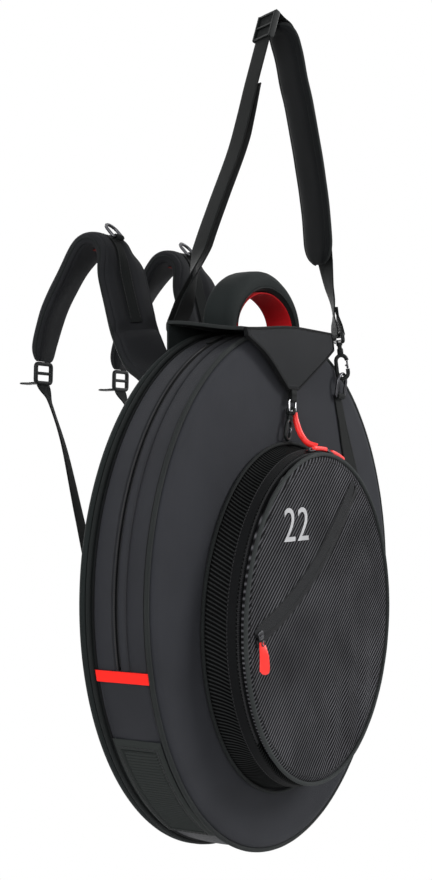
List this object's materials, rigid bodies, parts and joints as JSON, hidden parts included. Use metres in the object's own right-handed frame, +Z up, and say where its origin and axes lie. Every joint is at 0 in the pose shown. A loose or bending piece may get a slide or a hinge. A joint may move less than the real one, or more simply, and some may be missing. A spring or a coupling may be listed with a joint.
{
  "type": "cymbal bag",
  "caption": "Round padded bag for cymbals with a zipped front pocket, a hooked flap over the main zip, a carrying handle, a shoulder strap and backpack straps.",
  "frame": {"origin": "the point under the apex of the shoulder strap's loop by which the bag hangs", "axes": "+Z up, -Y toward the front pocket, +X to the right seen from the front"},
  "size_m": [0.602, 0.3722, 0.9935],
  "materials": {
    "shell_fabric": "woven nylon over padding",
    "lid_fabric": "ribbed woven fabric",
    "trim_fabric": "plain fabric over foam",
    "piping": "woven binding",
    "webbing": "woven webbing",
    "red_textile": "red woven tape and cord",
    "black_plastic": "satin black",
    "bright_metal": "polished"
  },
  "bodies": {
    "front_half": {"front_panel": "shell_fabric", "front_piping": "piping", "front_gusset": "shell_fabric", "lower_gusset": "shell_fabric", "main_zip_teeth": "black_plastic", "tab_left": "red_textile", "tab_right": "red_textile", "patch_left": "black_plastic", "patch_right": "black_plastic", "roof_plate": "black_plastic", "handle_grip": "trim_fabric", "handle_lining": "red_textile", "pocket_wall": "lid_fabric", "pocket_base_piping": "piping", "pocket_zip_teeth": "black_plastic", "anchor_strip": "webbing", "d_ring_right": "bright_metal", "snap_hook_right": "black_plastic", "shoulder_pad": "trim_fabric", "shoulder_webbing": "webbing"},
    "rear_half": {"rear_gusset": "shell_fabric", "rear_panel": "shell_fabric", "rear_piping": "piping", "rear_skirt": "trim_fabric", "back_anchor": "webbing", "d_ring_left": "bright_metal", "snap_hook_left": "black_plastic", "backpack_pad_left": "trim_fabric", "backpack_pad_right": "trim_fabric", "buckle_left": "black_plastic", "buckle_right": "black_plastic", "backpack_webbing_left": "webbing", "backpack_webbing_right": "webbing"},
    "pocket_cover": {"pocket_lid": "lid_fabric", "pocket_front_piping": "piping", "lid_zip": "black_plastic"},
    "flap": {"front_flap": "trim_fabric", "flap_loop": "webbing", "flap_ring": "bright_metal", "pull_cord": "red_textile"},
    "flap_snap_hook": {"flap_hook": "black_plastic"},
    "flap_snap_gate": {"flap_hook_gate": "black_plastic"},
    "gate_right": {"hook_gate_right": "black_plastic"},
    "gate_left": {"hook_gate_left": "black_plastic"},
    "strap_adjuster": {"tri_glide": "black_plastic"},
    "main_slide_right": {"main_slider_right": "black_plastic", "main_pull_right": "webbing"},
    "main_slide_left": {"main_slider_left": "black_plastic", "main_pull_left": "webbing"},
    "pocket_slide_right": {"pocket_slider_right": "bright_metal", "pocket_pull_right": "red_textile"},
    "pocket_slide_left": {"pocket_slider_left": "bright_metal", "pocket_pull_left": "red_textile"},
    "lid_slide": {"lid_slider": "bright_metal"},
    "lid_pull": {"lid_tab": "red_textile"},
    "lever_left": {"buckle_lever_left": "black_plastic"},
    "lever_right": {"buckle_lever_right": "black_plastic"},
    "loose_ring_left": {"backpack_ring_left": "bright_metal"},
    "loose_ring_right": {"backpack_ring_right": "bright_metal"}
  },
  "joints": [
    {"name": "rear_opening", "type": "hinge", "parent": "front_half", "child": "rear_half", "pos_m": [-0.044, 0.0462, -0.9736], "axis": [-1, 0, 0], "range_deg": [0, 12], "deforming": ["shoulder_webbing"]},
    {"name": "pocket_opening", "type": "hinge", "parent": "front_half", "child": "pocket_cover", "pos_m": [-0.044, -0.0821, -0.8954], "axis": [1, 0, 0], "range_deg": [0, 40]},
    {"name": "flap_lift", "type": "hinge", "parent": "front_half", "child": "flap", "pos_m": [-0.044, -0.0493, -0.3666], "axis": [-1, 0, 0], "range_deg": [0, 100]},
    {"name": "flap_hook_swing", "type": "hinge", "parent": "flap", "child": "flap_snap_hook", "pos_m": [-0.047, -0.0493, -0.465], "axis": [-1, 0, 0], "range_deg": [-4, 60]},
    {"name": "flap_gate", "type": "hinge", "parent": "flap_snap_hook", "child": "flap_snap_gate", "pos_m": [-0.04854, -0.0493, -0.48712], "axis": [0, 1, 0], "range_deg": [0, 30], "stiffness_Nm_per_rad": 0.01},
    {"name": "right_gate", "type": "hinge", "parent": "front_half", "child": "gate_right", "pos_m": [0.09591, -0.05553, -0.40107], "axis": [0.7628, 0.6442, 0.0562], "range_deg": [0, 35], "stiffness_Nm_per_rad": 0.02},
    {"name": "left_gate", "type": "hinge", "parent": "rear_half", "child": "gate_left", "pos_m": [-0.121, 0.0547, -0.4019], "axis": [1, 0, 0], "range_deg": [0, 35], "stiffness_Nm_per_rad": 0.02},
    {"name": "adjuster_slide", "type": "slide", "parent": "front_half", "child": "strap_adjuster", "axis": [-0.2536, 0.1335, -0.9581], "range_m": [0, 0.02]},
    {"name": "main_zip_right", "type": "hinge", "parent": "front_half", "child": "main_slide_right", "pos_m": [-0.044, 0.0024, -0.67], "axis": [0, 1, 0], "range_deg": [0, 80]},
    {"name": "main_zip_left", "type": "hinge", "parent": "front_half", "child": "main_slide_left", "pos_m": [-0.044, 0.0024, -0.67], "axis": [0, -1, 0], "range_deg": [0, 80]},
    {"name": "pocket_zip_right", "type": "hinge", "parent": "front_half", "child": "pocket_slide_right", "pos_m": [-0.044, -0.0807, -0.703], "axis": [0, 1, 0], "range_deg": [0, 105]},
    {"name": "pocket_zip_left", "type": "hinge", "parent": "front_half", "child": "pocket_slide_left", "pos_m": [-0.044, -0.0807, -0.703], "axis": [0, -1, 0], "range_deg": [0, 105]},
    {"name": "lid_zip_slide", "type": "hinge", "parent": "pocket_cover", "child": "lid_slide", "pos_m": [-0.344, -0.09215, -0.223], "axis": [0, -1, 0], "range_deg": [0, 32]},
    {"name": "lid_pull_swing", "type": "hinge", "parent": "lid_slide", "child": "lid_pull", "pos_m": [-0.20624, -0.09515, -0.71441], "axis": [-1, 0, 0], "range_deg": [0, 90]},
    {"name": "left_lever", "type": "hinge", "parent": "rear_half", "child": "lever_left", "pos_m": [-0.129, 0.24722, -0.42769], "axis": [1, 0, 0], "range_deg": [-25, 60]},
    {"name": "right_lever", "type": "hinge", "parent": "rear_half", "child": "lever_right", "pos_m": [0.041, 0.24722, -0.42769], "axis": [1, 0, 0], "range_deg": [-25, 60]},
    {"name": "left_ring", "type": "hinge", "parent": "rear_half", "child": "loose_ring_left", "pos_m": [-0.129, 0.13774, -0.25835], "axis": [1, 0, 0], "range_deg": [0, 110]},
    {"name": "right_ring", "type": "hinge", "parent": "rear_half", "child": "loose_ring_right", "pos_m": [0.041, 0.13774, -0.25835], "axis": [1, 0, 0], "range_deg": [0, 110]}
  ]
}
